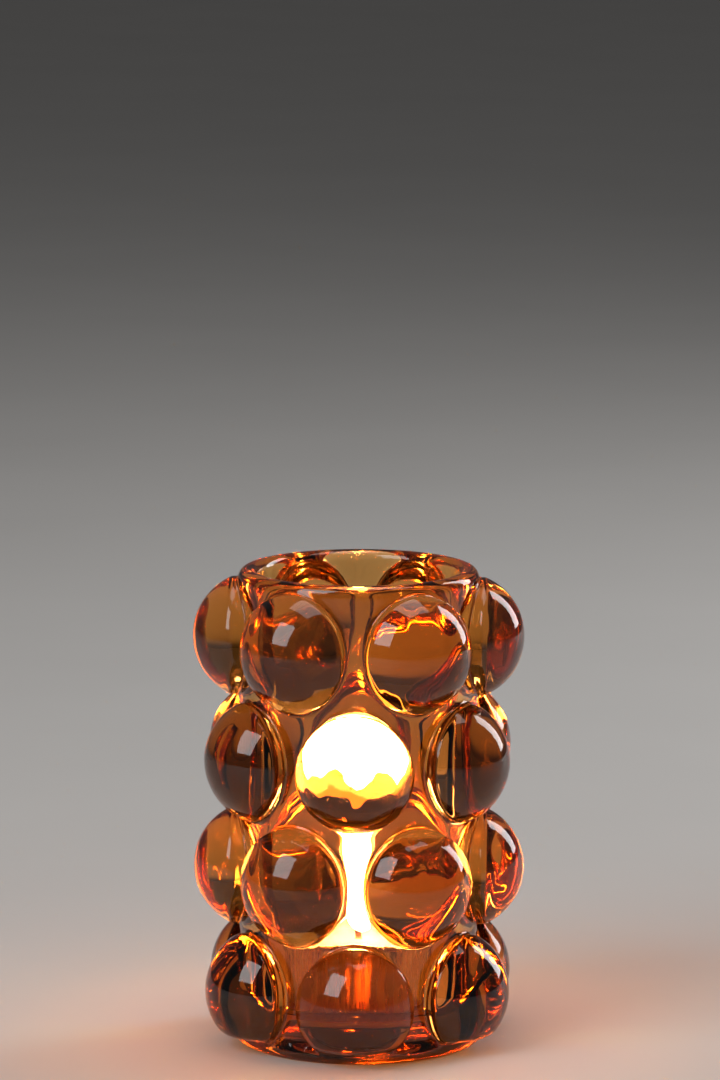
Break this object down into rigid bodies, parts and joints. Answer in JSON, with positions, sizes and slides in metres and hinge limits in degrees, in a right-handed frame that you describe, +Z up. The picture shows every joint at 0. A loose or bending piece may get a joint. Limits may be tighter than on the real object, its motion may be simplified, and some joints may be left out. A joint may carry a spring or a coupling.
{
  "type": "glass tealight holder",
  "caption": "Thick-walled amber glass cylinder studded all round with large domed glass lenses, holding a loose tealight candle in an aluminium cup.",
  "frame": {"origin": "middle of the foot, on the surface that the holder stands on", "axes": "+Z up along the cup's axis; -Y is the front, which a lens of rows 2 and 4 faces"},
  "size_m": [0.083, 0.083, 0.12],
  "materials": {
    "amber_glass": "fire-polished clear amber glass",
    "tin_aluminium": "bright rolled aluminium foil, finely creased",
    "clip_steel": "thin tinned steel",
    "wick_cotton": "braided cotton, charred at the tip",
    "candle_wax": "white paraffin wax"
  },
  "bodies": {
    "holder": {"glass_cup": "amber_glass", "lens_row1_1": "amber_glass", "lens_row1_2": "amber_glass", "lens_row1_3": "amber_glass", "lens_row1_4": "amber_glass", "lens_row1_5": "amber_glass", "lens_row1_6": "amber_glass", "lens_row2_1": "amber_glass", "lens_row2_2": "amber_glass", "lens_row2_3": "amber_glass", "lens_row2_4": "amber_glass", "lens_row2_5": "amber_glass", "lens_row2_6": "amber_glass", "lens_row3_1": "amber_glass", "lens_row3_2": "amber_glass", "lens_row3_3": "amber_glass", "lens_row3_4": "amber_glass", "lens_row3_5": "amber_glass", "lens_row3_6": "amber_glass", "lens_row4_1": "amber_glass", "lens_row4_2": "amber_glass", "lens_row4_3": "amber_glass", "lens_row4_4": "amber_glass", "lens_row4_5": "amber_glass", "lens_row4_6": "amber_glass"},
    "tin": {"tealight_tin": "tin_aluminium"},
    "candle": {"wax": "candle_wax", "wick_clip": "clip_steel", "wick": "wick_cotton"}
  },
  "joints": [
    {"name": "tealight_lift", "type": "slide", "parent": "holder", "child": "tin", "axis": [0, 0, 1], "range_m": [0, 0.125]},
    {"name": "wax_lift", "type": "slide", "parent": "tin", "child": "candle", "axis": [0, 0, 1], "range_m": [0, 0.022]}
  ]
}
